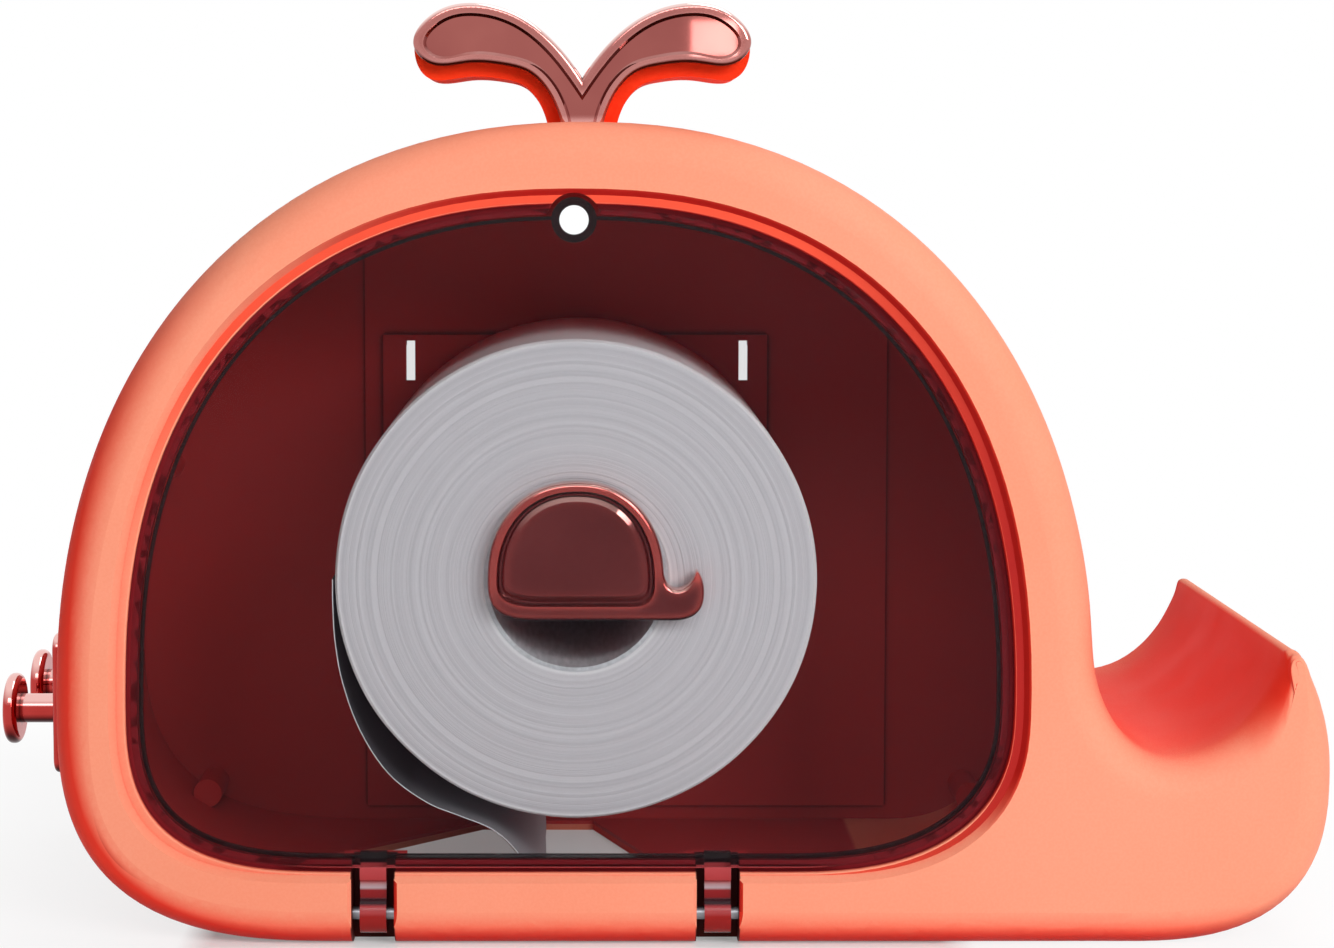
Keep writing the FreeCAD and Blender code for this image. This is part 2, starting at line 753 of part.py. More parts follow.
def make_spout_body():
    """A hollow moulding, open at the back, with a solid stem for its two screws."""
    face = Part.Face(spout_wire(trim_back_y, spout_drop))
    blank = face.extrude(V(0, spout_depth, 0))
    inner = Part.Face(spout_wire(trim_back_y + spout_wall, spout_drop, spout_wall))
    hollow = inner.extrude(V(0, spout_back_y, 0))
    half_stem = boss_radius
    stem = box(spout_x - half_stem, spout_x + half_stem, 0, far, 0,
               dome_top_z + spout_screw_length - wall + spout_wall)
    blank = blank.cut(hollow.cut(stem))
    drills = []
    for y in spout_screw_ys:
        drills.append(cylinder(spout_x, y, dome_top_z - 1, screw_radius,
                               spout_screw_length - 2 * wall + 1, UP))
    return on_dome(blank).cut(drills)


def make_spout_screws():
    seat_z = dome_top_z - wall - spout_screw_gap
    return Part.makeCompound([screw(spout_x, y, seat_z, spout_screw_length - wall, UP)
                              for y in spout_screw_ys])


# ---- Hooks ----
def make_hook_plate():
    plate = box(hook_plate_x, dome_left_x + edge_round, hook_plate_front_y, hook_plate_back_y,
                hook_plate_bottom_z, hook_plate_top_z)
    corners = [e for e in plate.Edges
               if e.BoundBox.XLength > 1 and e.BoundBox.YLength < 0.01]
    plate = plate.makeFillet(hook_plate_round, corners)
    rim = [e for e in plate.Edges if e.BoundBox.XMax < hook_plate_x + 0.01]
    plate = plate.makeFillet(hook_plate_edge_round, rim)
    return plate.cut([outer_body] + [hook_stud(y) for y in hook_ys.values()])


def hook_stud(y):
    """The threaded end of a peg, from just outside the plate to past its nut."""
    start = hook_plate_x - 1
    length = nut_x() + hook_nut_height + hook_stud_overrun - start
    return cylinder(start, y, hook_z, hook_stud_radius, length, RIGHT)


def make_hook_peg(y):
    """A mushroom head on a stem, with a threaded stud that goes through the flank."""
    stem_length = hook_plate_x - hook_end_x
    head = cylinder(hook_end_x, y, hook_z, hook_head_radius, hook_head_thickness, RIGHT)
    head = head.makeFillet(0.45 * hook_head_thickness, head.Edges[:1] + head.Edges[2:3])
    stem = cylinder(hook_end_x + 1, y, hook_z, hook_stem_radius, stem_length - 1, RIGHT)
    return head.fuse([stem, hook_stud(y)])


def nut_x():
    return dome_left_x + wall + hook_nut_gap


def make_hook_nuts():
    nuts = []
    for y in hook_ys.values():
        points = []
        for i in range(7):
            angle = math.radians(60 * i)
            points.append(V(nut_x(), y + hook_nut_radius * math.cos(angle),
                            hook_z + hook_nut_radius * math.sin(angle)))
        nut = Part.Face(Part.makePolygon(points)).extrude(V(hook_nut_height, 0, 0))
        nuts.append(nut.cut(cylinder(nut_x() - 1, y, hook_z, hook_stud_radius,
                                     hook_nut_height + 2, RIGHT)))
    return Part.makeCompound(nuts)


# ---- All pieces ----
def make_all():
    paper_inner = core_inner_radius + core_wall
    return {
        "main_shell": make_main_shell(),
        "rear_panel": make_rear_panel(),
        "rear_panel_screws": make_rear_panel_screws(),
        "door_panel": make_door_panel(),
        "hinge_pin_left": pin_solid(hinge_left_x),
        "hinge_pin_right": pin_solid(hinge_right_x),
        "spindle": make_spindle(),
        "spindle_screws": make_spindle_screws(),
        "spindle_cap": make_spindle_cap(),
        "roll_core": tube_y(roll_z, paper_inner, core_inner_radius, roll_front_y, roll_width),
        "paper_roll": tube_y(roll_z, roll_radius, paper_inner, roll_front_y, roll_width),
        "paper_web": make_paper_web(),
        "spout_body": make_spout_body(),
        "spout_trim": make_spout_trim(),
        "spout_screws": make_spout_screws(),
        "hook_plate": make_hook_plate(),
        "hook_peg_front": make_hook_peg(hook_ys["front"]),
        "hook_peg_rear": make_hook_peg(hook_ys["rear"]),
        "hook_nuts": make_hook_nuts(),
    }


pieces = make_all()
# The frame's origin is the middle of the base of the whole holder.
middle_x = (hook_end_x + tail_right_x) / 2
origin = V(middle_x, depth / 2, 0)
for name, shape in pieces.items():
    shape.translate(origin * -1)
    shape.exportStep(f"parts/{name}.step")
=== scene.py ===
import math

import bmesh
import bpy
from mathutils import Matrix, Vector, noise


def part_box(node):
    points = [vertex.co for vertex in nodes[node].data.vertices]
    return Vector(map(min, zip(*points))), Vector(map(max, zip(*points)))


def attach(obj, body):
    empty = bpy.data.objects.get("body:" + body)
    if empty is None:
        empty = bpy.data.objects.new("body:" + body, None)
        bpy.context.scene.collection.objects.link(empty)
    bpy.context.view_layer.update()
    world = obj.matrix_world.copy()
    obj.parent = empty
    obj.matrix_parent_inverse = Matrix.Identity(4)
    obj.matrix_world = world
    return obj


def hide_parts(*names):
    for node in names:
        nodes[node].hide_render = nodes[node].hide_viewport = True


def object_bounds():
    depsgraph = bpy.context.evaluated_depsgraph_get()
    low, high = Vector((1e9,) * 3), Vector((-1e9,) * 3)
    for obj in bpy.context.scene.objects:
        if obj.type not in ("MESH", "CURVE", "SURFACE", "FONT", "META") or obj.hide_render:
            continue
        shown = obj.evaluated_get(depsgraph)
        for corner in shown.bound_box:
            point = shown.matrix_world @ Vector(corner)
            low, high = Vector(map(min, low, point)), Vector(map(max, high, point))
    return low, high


# A whale-shaped toilet roll holder: a matte coral shell, a smoked clear door, rose copper
# trim, and a soft tissue roll whose loose end hangs through the floor. Lengths are in metres.

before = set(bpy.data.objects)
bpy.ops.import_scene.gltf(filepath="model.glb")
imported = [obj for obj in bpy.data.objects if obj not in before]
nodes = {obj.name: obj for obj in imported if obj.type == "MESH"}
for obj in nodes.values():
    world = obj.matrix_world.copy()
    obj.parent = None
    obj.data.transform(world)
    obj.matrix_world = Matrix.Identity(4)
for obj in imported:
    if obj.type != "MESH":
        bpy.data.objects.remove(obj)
cad_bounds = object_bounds()

# ---- Sizes and places, read from the frame ----
roll_low, roll_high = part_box("paper_roll")
roll_x = (roll_low.x + roll_high.x) / 2
roll_z = (roll_low.z + roll_high.z) / 2
roll_radius = (roll_high.z - roll_low.z) / 2
core_low, core_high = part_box("roll_core")
core_radius = (core_high.z - core_low.z) / 2
web_low, web_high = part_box("paper_web")
door_low, door_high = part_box("door_panel")
door_middle = (door_low + door_high) / 2
shell_low, shell_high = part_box("main_shell")
front_y = cad_bounds[0].y
floor_z = min(0.0, cad_bounds[0].z)

# ---- Where the colours of the shell and the door change ----
BELLY_Z = 0.056         # height at which the dome is widest
DOME_REACH = 0.122      # from the roll's axis to the dome's right side
DOME_POWER = 2.2        # roundness of the dome above that height
FOOT_POWER = 5.0        # roundness of its corners below it
RING_INSET = 0.009      # a line on the front ring, this far in from the outline
WALL_INSET = 0.0016     # less than the shell's wall, so that the whole chamber is painted
# How far behind the front each part of the shell begins.
STEP_START = 0.0004
LEDGE_START = 0.0014
LIP_START = 0.0031
CHAMBER_START = 0.0056
GROOVE_START = 0.0009
GROOVE_END = 0.0125
PIN_OVERHANG = 0.0018   # how far a hinge pin reaches past the groove on either side
PLATE_FOOT_Z = 0.0192   # lower edge of the door's plate, above its straps
RIB_FRONT_Y = door_middle.y - 0.0011    # just behind the door's plate
# Painted shade: the ledge is painted red towards LEDGE_SLANT, where the rim shades it, and pale
# the other way, and darker still towards the door's right edge; the shell is painted redder where
# it faces TURNED_WAY, away from the lamps.
LEDGE_SLANT = (0.6, 0.0, 0.8)
LEDGE_PALE = -0.058     # from the door's middle towards LEDGE_SLANT: the ledge is pale up to here
LEDGE_FULL_SHADE = -0.012      # and all red from here on
LEDGE_LEAST = 0.12      # share of red where it is pale
TURNED_WAY = (-0.8, 0.0, -0.6)
FORWARD_FACING = -0.975     # y of the direction of a surface that faces forward is below this
RIGHT_FADE = 0.05       # width over which the ledge darkens towards the door's right edge


# ---- Colours, as scene-linear values of sRGB colours ----
def srgb(red, green, blue):
    """Scene-linear RGBA of an sRGB colour given as 0 to 255."""
    def linear(value):
        share = value / 255
        if share <= 0.04045:
            return share / 12.92
        return ((share + 0.055) / 1.055) ** 2.4
    return (linear(red), linear(green), linear(blue), 1.0)


CORAL = srgb(250, 150, 118)
CORAL_PALE = srgb(252, 158, 128)
# Painted shade on the shell: reds for the sides turned away from the lamps, the undersides, the
# hollows and the door's step, ledge and lip, and black for the strap grooves.
CORAL_TURNED_SHADE = srgb(248, 60, 40)
CORAL_UNDER_SHADE = srgb(184, 34, 28)
CORAL_HOLLOW_SHADE = srgb(240, 64, 48)
LEDGE_SHADE_RED = srgb(240, 84, 58)
LEDGE_DEEP_SHADE = srgb(176, 34, 30)
STEP_SHADE_RED = srgb(186, 26, 20)
LIP_SHADE_MAROON = srgb(132, 26, 34)
SHADE_RED = srgb(52, 12, 12)
GROOVE_SHADOW = srgb(26, 12, 14)
# Painted shade: the chamber's red, darker than the coral.
PANEL_SHADE_RED = srgb(208, 60, 60)
PANEL_SHADE_RED_DARK = srgb(194, 54, 54)
SPOUT_RED = srgb(255, 48, 8)
SPOUT_RED_PALE = srgb(255, 60, 18)
# Each copper's first and second tone, its painted highlights on rims and crests, and its painted
# shade on undersides and in grooves.
COPPER_SHADES = (srgb(154, 84, 80), srgb(168, 96, 90), srgb(222, 156, 150),
                 srgb(252, 220, 214), srgb(30, 10, 12))
CAP_SHADES = (srgb(116, 50, 50), srgb(128, 58, 58), srgb(236, 108, 100),
              srgb(255, 206, 196), srgb(40, 8, 8))
HOOK_SHADES = (srgb(170, 44, 40), srgb(186, 64, 60), srgb(206, 96, 92),
               srgb(248, 200, 194), srgb(30, 6, 10))
SMOKE = srgb(30, 22, 28)
SMOKE_PALE = srgb(48, 34, 42)
RIB_DARK = srgb(24, 18, 22)
# The straps' painted bands of highlight and shade: the height at which each colour stands.
STRAP_TOP = 0.02
STRAP_LIGHT_AND_SHADE = [(0.0, srgb(44, 30, 34)), (0.0026, srgb(46, 28, 32)), (0.0032, srgb(150, 18, 14)),
               (0.0076, srgb(156, 22, 18)), (0.0086, srgb(176, 68, 70)),
               (0.0098, srgb(170, 60, 64)), (0.0104, srgb(54, 34, 40)),
               (0.0112, srgb(62, 34, 40)), (0.0118, srgb(138, 16, 20)),
               (0.0134, srgb(146, 26, 30)), (0.014, srgb(190, 168, 174)),
               (0.0148, srgb(180, 138, 142)), (0.0156, srgb(176, 52, 54)),
               (0.0192, srgb(186, 70, 74))]
TISSUE = srgb(236, 235, 241)
TISSUE_SHADE = srgb(216, 215, 222)
# A painted highlight for the tissue's edges, and painted shadow on it.
TISSUE_EDGE_HIGHLIGHT = srgb(250, 250, 254)
TISSUE_SHADOW = srgb(62, 62, 68)
BOARD = srgb(226, 230, 236)
BOARD_DARK = srgb(204, 208, 214)
STEEL = srgb(176, 176, 180)
STEEL_DARK = srgb(140, 140, 146)
FLOOR = srgb(250, 250, 250)
WHITE = (1.0, 1.0, 1.0, 1.0)


# ---- Materials ----
class Nodes:
    """A short way to write a material's node tree. Every share runs from 0 to 1."""

    def __init__(self, name):
        self.material = bpy.data.materials.new(name)
        self.material.use_nodes = True
        self.tree = self.material.node_tree
        self.shader = self.tree.nodes["Principled BSDF"]
        self.output = self.tree.nodes["Material Output"]
        coordinates = self.add("ShaderNodeTexCoord")
        self.place = coordinates.outputs["Object"]
        self.facing = coordinates.outputs["Normal"]

    def add(self, kind, **values):
        node = self.tree.nodes.new(kind)
        for key, value in values.items():
            setattr(node, key, value)
        return node

    def link(self, source, target):
        self.tree.links.new(source, target)

    def split(self, vector=None):
        """The three parts of a vector, which is the place on the piece if none is given."""
        node = self.add("ShaderNodeSeparateXYZ")
        self.link(vector or self.place, node.inputs["Vector"])
        return node.outputs["X"], node.outputs["Y"], node.outputs["Z"]

    def along(self, vector, direction):
        """How far a vector reaches in a direction."""
        node = self.add("ShaderNodeVectorMath", operation="DOT_PRODUCT")
        self.link(vector, node.inputs[0])
        node.inputs[1].default_value = direction
        return node.outputs["Value"]

    def math(self, operation, first, second=0.0):
        node = self.add("ShaderNodeMath", operation=operation)
        for index, value in ((0, first), (1, second)):
            if isinstance(value, (int, float)):
                node.inputs[index].default_value = value
            else:
                self.link(value, node.inputs[index])
        return node.outputs["Value"]

    def times(self, first, *others):
        for other in others:
            first = self.math("MULTIPLY", first, other)
        return first

    def flip(self, share):
        return self.math("SUBTRACT", 1.0, share)

    def distance(self, value, centre):
        return self.math("ABSOLUTE", self.math("SUBTRACT", value, centre))

    def ramp(self, factor, low, high, first, last):
        """The factor from low to high turned into first to last, both numbers."""
        node = self.add("ShaderNodeMapRange")
        self.link(factor, node.inputs["Value"])
        for name, value in (("From Min", low), ("From Max", high),
                            ("To Min", first), ("To Max", last)):
            node.inputs[name].default_value = value
        return node.outputs["Result"]

    def above(self, value, edge, soft=0.0002):
        """0 below edge and 1 above it, over a short soft step."""
        return self.ramp(value, edge - soft, edge + soft, 0.0, 1.0)

    def below(self, value, edge, soft=0.0002):
        """1 below edge and 0 above it, over a short soft step."""
        return self.flip(self.above(value, edge, soft))

    def mix(self, share, first, second):
        node = self.add("ShaderNodeMix", data_type="RGBA")
        self.link(share, node.inputs["Factor"])
        for index, value in ((6, first), (7, second)):
            if isinstance(value, tuple):
                node.inputs[index].default_value = value
            else:
                self.link(value, node.inputs[index])
        return node.outputs[2]

    def noise(self, scale, detail, roughness=0.5, vector=None):
        node = self.add("ShaderNodeTexNoise")
        node.inputs["Scale"].default_value = scale
        node.inputs["Detail"].default_value = detail
        node.inputs["Roughness"].default_value = roughness
        self.link(vector or self.place, node.inputs["Vector"])
        return node.outputs["Fac"]

    def patches(self, scale, detail, most=1.0, spread=0.15):
        """Noise in patches from 0 to most; a smaller spread makes their edges sharper."""
        return self.ramp(self.noise(scale, detail), 0.5 - spread, 0.5 + spread, 0.0, most)

    def hollow(self, reach, open_share, shut_share):
        """0 where the surface lies open, rising to 1 deep in a hollow of the same piece."""
        node = self.add("ShaderNodeAmbientOcclusion", only_local=True, samples=8)
        node.inputs["Distance"].default_value = reach
        return self.ramp(node.outputs["AO"], open_share, shut_share, 0.0, 1.0)

    def edges(self, reach, open_share, shut_share):
        """0 away from the edges of the piece, rising to 1 within reach of one."""
        node = self.add("ShaderNodeAmbientOcclusion", only_local=True, inside=True, samples=8)
        node.inputs["Distance"].default_value = reach
        return self.ramp(node.outputs["AO"], open_share, shut_share, 0.0, 1.0)

    def paint(self, color):
        self.link(color, self.shader.inputs["Base Color"])

    def roughen(self, scale, detail, least, most):
        """Uneven roughness from least to most."""
        self.link(self.ramp(self.noise(scale, detail), 0.3, 0.7, least, most),
                  self.shader.inputs["Roughness"])

    def bump(self, height, distance, strength):
        node = self.add("ShaderNodeBump")
        node.inputs["Strength"].default_value = strength
        node.inputs["Distance"].default_value = distance
        self.link(height, node.inputs["Height"])
        self.link(node.outputs["Normal"], self.shader.inputs["Normal"])

    def set(self, **values):
        for name, value in values.items():
            self.shader.inputs[name.replace("_", " ")].default_value = value


def ledge_shade_share(m):
    """Share of painted shade on the flat ledge round the door, which faces forward just behind
    the face: small where it is lit, rising to 1 towards LEDGE_SLANT.
    """
    forward = m.below(m.split(m.facing)[1], FORWARD_FACING, 0.01)
    behind = m.above(m.split()[1], front_y + LEDGE_START)
    centre = door_middle.dot(Vector(LEDGE_SLANT))
    ledge_shade = m.ramp(m.along(m.place, LEDGE_SLANT), centre + LEDGE_PALE, centre + LEDGE_FULL_SHADE,
                 LEDGE_LEAST, 1.0)
    return m.times(forward, behind, ledge_shade)


def turned_shade_share(m):
    """Share of painted shade: 0 on the face, the top and the right, rising to 1 on the sides that
    look left or down, away from the lamps.
    """
    return m.ramp(m.along(m.facing, TURNED_WAY), 0.04, 0.46, 0.0, 1.0)


def oval_reach(m, middle, half, power):
    """Above 1 outside a superellipse seen from the front, and below 1 inside it."""
    across, _, up = m.split()
    terms = []
    for place, centre, size in ((across, middle[0], half[0]), (up, middle[1], half[1])):
        share = m.math("DIVIDE", m.math("SUBTRACT", place, centre), size)
        terms.append(m.math("POWER", m.math("ABSOLUTE", share), power))
    return m.math("ADD", *terms)


def dome_share(m, margin, start):
    """1 inside the dome's outline, drawn in by margin, and further back than start."""
    dome_right = roll_x + DOME_REACH
    middle = ((dome_right + shell_low.x) / 2, BELLY_Z)
    half_width = (dome_right - shell_low.x) / 2 - margin
    dome = oval_reach(m, middle, (half_width, shell_high.z - BELLY_Z - margin), DOME_POWER)
    foot = oval_reach(m, middle, (half_width, BELLY_Z - margin), FOOT_POWER)
    _, depth, up = m.split()
    low = m.below(up, BELLY_Z, 0.001)
    reach = m.math("ADD", m.times(foot, low), m.times(dome, m.flip(low)))
    return m.times(m.below(reach, 1.0, 0.004), m.above(depth, front_y + start, 0.0003))


def groove_share(m):
    """1 on the walls of the two grooves that the door's straps lie in."""
    across, depth, up = m.split()
    sides = []
    for pin in ("hinge_pin_left", "hinge_pin_right"):
        low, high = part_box(pin)
        half_width = (high.x - low.x) / 2 - PIN_OVERHANG
        aside = m.distance(across, (low.x + high.x) / 2)
        sides.append(m.below(aside, half_width, 0.0001))
    return m.times(m.math("MAXIMUM", *sides),
                   m.below(up, PLATE_FOOT_Z + 0.002, 0.0005),
                   m.above(depth, front_y + GROOVE_START),
                   m.below(depth, front_y + GROOVE_END, 0.0003))


def moulded_plastic(name, first, second, roughness):
    """A moulded plastic and its colour: a fine grain, faint flow marks and handling wear."""
    m = Nodes(name)
    flow = m.patches(14.0, 4.0, most=0.6)
    speckle = m.patches(1500.0, 2.0, most=0.4, spread=0.1)
    color = m.mix(m.math("ADD", flow, speckle), first, second)
    m.roughen(60.0, 3.0, roughness - 0.04, roughness + 0.05)
    m.bump(m.noise(2400.0, 3.0), 0.00003, 0.5)
    return m, color


def coral_material():
    """Coral: pale on the face, with painted shade in deeper reds where it turns away from the
    lamps and below, in its hollows, on the door's step, ledge and lip and in the chamber, and
    black in the strap grooves.
    """
    m, color = moulded_plastic("coral_matte", CORAL, CORAL_PALE, 0.55)
    # Painted shade on the sides that turn away from the lamps.
    color = m.mix(turned_shade_share(m), color, CORAL_TURNED_SHADE)
    # Painted shade on the undersides.
    underside_shade = m.ramp(m.split(m.facing)[2], -0.4, -0.85, 0.0, 0.8)
    color = m.mix(underside_shade, color, CORAL_UNDER_SHADE)
    # Painted shade in the hollows.
    color = m.mix(m.hollow(0.07, 0.9, 0.66), color, CORAL_HOLLOW_SHADE)
    # Painted shade on the step round the door where it turns away from the lamps.
    step = m.times(dome_share(m, RING_INSET, STEP_START), turned_shade_share(m))
    color = m.mix(step, color, STEP_SHADE_RED)
    # Painted shade on the ledge, darkest towards the door's right edge.
    right_shade = m.ramp(m.split()[0], door_high.x - RIGHT_FADE, door_high.x, 0.0, 1.0)
    color = m.mix(ledge_shade_share(m), color, m.mix(right_shade, LEDGE_SHADE_RED, LEDGE_DEEP_SHADE))
    # Painted shade: the lip behind the door's edge is painted dark maroon.
    color = m.mix(dome_share(m, RING_INSET, LIP_START), color, LIP_SHADE_MAROON)
    # The chamber is painted a darker red in place of its shade.
    color = m.mix(dome_share(m, WALL_INSET, CHAMBER_START), color, PANEL_SHADE_RED)
    color = m.mix(m.hollow(0.006, 0.5, 0.2), color, SHADE_RED)
    # Painted shadow in the grooves that the straps lie in.
    m.paint(m.mix(m.times(groove_share(m), 0.9), color, GROOVE_SHADOW))
    m.set(Specular_IOR_Level=0.12)
    return m.material


def inner_material():
    """Red plastic of the back panel and the spindle, painted darker than the coral as the
    chamber's shade, with painted shade in its seams.
    """
    m, color = moulded_plastic("panel_shade_red", PANEL_SHADE_RED, PANEL_SHADE_RED_DARK, 0.5)
    # Painted shade in the seams.
    seam_shade = m.times(m.hollow(0.0025, 0.92, 0.7), 0.75)
    m.paint(m.mix(seam_shade, color, SHADE_RED))
    m.set(Specular_IOR_Level=0.25)
    return m.material


def spout_material():
    """Bright orange red plastic of the spout's body."""
    m, color = moulded_plastic("spout_red", SPOUT_RED, SPOUT_RED_PALE, 0.5)
    m.paint(color)
    m.set(Specular_IOR_Level=0.1)
    return m.material


def copper_material(name, shades, roughness, rim_reach):
    """Rose copper plating, with painted highlights along its rims and on crests that face up, and
    painted shade below and in its grooves.
    """
    first, second, rim_highlight, crest_highlight, underside_shade = shades
    m = Nodes(name)
    color = m.mix(m.patches(38.0, 3.0), first, second)
    # Painted highlights along the rims and on the crests that face up, and painted shade on the
    # undersides and in the grooves.
    color = m.mix(m.times(m.edges(rim_reach, 0.95, 0.62), 0.95), color, rim_highlight)
    rise = m.split(m.facing)[2]
    color = m.mix(m.ramp(rise, 0.25, 0.65, 0.0, 0.9), color, crest_highlight)
    color = m.mix(m.ramp(rise, -0.25, -0.65, 0.0, 0.92), color, underside_shade)
    m.paint(m.mix(m.hollow(0.0025, 0.72, 0.42), color, underside_shade))
    m.roughen(180.0, 4.0, roughness, roughness * 1.5)
    m.set(Metallic=1.0)
    return m.material


def strap_painted_bands(m, up):
    """The straps' painted bands of highlight and shade, by height."""
    bands = m.add("ShaderNodeValToRGB")
    m.link(m.ramp(up, 0.0, STRAP_TOP, 0.0, 1.0), bands.inputs["Fac"])
    stops = bands.color_ramp.elements
    while len(stops) < len(STRAP_LIGHT_AND_SHADE):
        stops.new(1.0)
    for stop, (height, color) in zip(stops, STRAP_LIGHT_AND_SHADE):
        stop.position = height / STRAP_TOP
        stop.color = color
    return bands.outputs["Color"]


def smoked_material():
    """Smoked clear plastic: clear in the plate, dark in the rib and boss, red in the straps, with
    painted bands of highlight and shade on the straps and a painted sheen towards the right.
    """
    plate_alpha = 0.14
    full_alpha = 0.9
    m = Nodes("smoked_clear")
    across, depth, up = m.split()
    strap = m.below(up, PLATE_FOOT_Z)
    rib = m.times(m.above(depth, RIB_FRONT_Y), m.flip(strap))
    # A painted sheen that pales the smoke towards the door's right side.
    painted_sheen = m.ramp(across, roll_x, door_high.x, 0.0, 0.6)
    smoke = m.mix(m.math("ADD", m.patches(22.0, 3.0, most=0.4), painted_sheen), SMOKE, SMOKE_PALE)
    # The straps are painted in bands of highlight and shade.
    m.paint(m.mix(strap, m.mix(rib, smoke, RIB_DARK), strap_painted_bands(m, up)))
    m.roughen(90.0, 4.0, 0.05, 0.1)
    alpha = m.ramp(m.math("ADD", rib, strap), 0.0, 1.0, plate_alpha, full_alpha)
    m.link(alpha, m.shader.inputs["Alpha"])
    m.set(Specular_IOR_Level=0.2)
    return m.material


def steel_material():
    """Zinc-plated steel of the pins, screws and nuts."""
    m = Nodes("plated_steel")
    m.paint(m.mix(m.patches(300.0, 3.0), STEEL, STEEL_DARK))
    m.roughen(700.0, 3.0, 0.28, 0.42)
    m.set(Metallic=1.0)
    return m.material


def board_material():
    """Rolled grey board, with fibres that run along the core."""
    m = Nodes("core_board")
    stretch = m.add("ShaderNodeMapping")
    stretch.inputs["Scale"].default_value = (1.0, 0.12, 1.0)
    m.link(m.place, stretch.inputs["Vector"])
    fibres = m.noise(900.0, 4.0, vector=stretch.outputs["Vector"])
    m.paint(m.mix(m.ramp(fibres, 0.35, 0.65, 0.0, 1.0), BOARD, BOARD_DARK))
    m.bump(fibres, 0.00008, 0.6)
    m.set(Roughness=0.9)
    return m.material


def tissue_base(name):
    """Soft tissue: its node tree, its loose fibres as a height, and their shade."""
    m = Nodes(name)
    fibres = m.noise(2600.0, 4.0, 0.7)
    return m, m.times(fibres, 0.35), m.ramp(fibres, 0.3, 0.7, 0.0, 0.35)


def finish_tissue(m, shade, shadow_share, edge, height, depth):
    """Paints a tissue by the shade of its fibres, with painted shadow laid over it and a painted
    highlight on its edges.
    """
    color = m.mix(m.ramp(shade, 0.0, 1.1, 0.0, 1.0), TISSUE, TISSUE_SHADE)
    color = m.mix(shadow_share, color, TISSUE_SHADOW)
    m.paint(m.mix(edge, color, TISSUE_EDGE_HIGHLIGHT))
    m.bump(height, depth, 0.6)
    m.set(Roughness=0.92, Specular_IOR_Level=0.2)
    return m.material


def roll_material():
    """Wound tissue: the edges of its turns show on its ends, its round side is painted dim as
    shade, and painted highlights run along its outer edge and round the core.
    """
    m, height, shade = tissue_base("tissue_roll")
    across, _, up = m.split()
    side = m.math("SUBTRACT", across, roll_x)
    rise = m.math("SUBTRACT", up, roll_z)
    radius = m.math("SQRT", m.math("ADD", m.times(side, side), m.times(rise, rise)))
    turn = m.add("ShaderNodeTexNoise", noise_dimensions="1D")
    for name, value in (("Scale", 700.0), ("Detail", 3.0), ("Roughness", 0.65)):
        turn.inputs[name].default_value = value
    m.link(radius, turn.inputs["W"])
    rings = m.ramp(turn.outputs["Fac"], 0.36, 0.64, 0.0, 1.0)
    shade = m.math("ADD", shade, m.times(rings, 0.75))
    height = m.math("ADD", height, rings)
    # Painted highlights along the roll's outer edge and round the core.
    edge = m.math("ADD", m.above(radius, roll_radius - 0.0011, 0.0003),
                  m.below(radius, core_radius + 0.0009, 0.0003))
    # Painted shade on the roll's round side.
    endwise = m.math("ABSOLUTE", m.split(m.facing)[1])
    shadow_share = m.ramp(endwise, 0.2, 0.6, 0.8, 0.0)
    return finish_tissue(m, shade, shadow_share, edge, height, 0.00016)


def web_material():
    """The loose tissue, with painted shadow behind the roll that thins out towards the outlet,
    and a painted highlight on its front edge.
    """
    m, height, shade = tissue_base("tissue_web")
    _, depth, up = m.split()
    # A painted highlight on the front edge, and painted shadow higher up behind the roll.
    edge = m.below(depth, web_low.y + 0.0014, 0.0003)
    shadow_share = m.ramp(up, web_low.z + 0.012, web_low.z + 0.034, 0.35, 0.95)
    return finish_tissue(m, shade, shadow_share, edge, height, 0.00006)


def assign(node, material):
    """Puts one material on every slot of a CAD node."""
    mesh = nodes[node].data
    if not mesh.materials:
        mesh.materials.append(material)
    for index in range(len(mesh.materials)):
        mesh.materials[index] = material


FINISHES = [
    (coral_material(), ["main_shell"]),
    (inner_material(), ["rear_panel", "spindle"]),
    (spout_material(), ["spout_body"]),
    (copper_material("rose_copper", COPPER_SHADES, 0.02, 0.0018), ["spout_trim"]),
    (copper_material("rose_copper_cap", CAP_SHADES, 0.06, 0.002), ["spindle_cap"]),
    (copper_material("rose_copper_hooks", HOOK_SHADES, 0.08, 0.001),
     ["hook_plate", "hook_peg_front", "hook_peg_rear"]),
    (smoked_material(), ["door_panel"]),
    (steel_material(), ["rear_panel_screws", "hinge_pin_left", "hinge_pin_right",
                        "spindle_screws", "spout_screws", "hook_nuts"]),
    (board_material(), ["roll_core"]),
]
for material, names in FINISHES:
    for node in names:
        assign(node, material)


# ---- New pieces ----
def finished_mesh(name, bm):
    """The mesh of a bmesh, which is freed."""
    mesh = bpy.data.meshes.new(name)
    bm.to_mesh(mesh)
    bm.free()
    for face in mesh.polygons:
        face.use_smooth = True
    return mesh


def new_piece(name, mesh, material, body):
    """A piece that rides on a body, with the given material."""
    piece = bpy.data.objects.new(name, mesh)
    bpy.context.scene.collection.objects.link(piece)
    mesh.materials.append(material)
    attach(piece, body)
    return piece


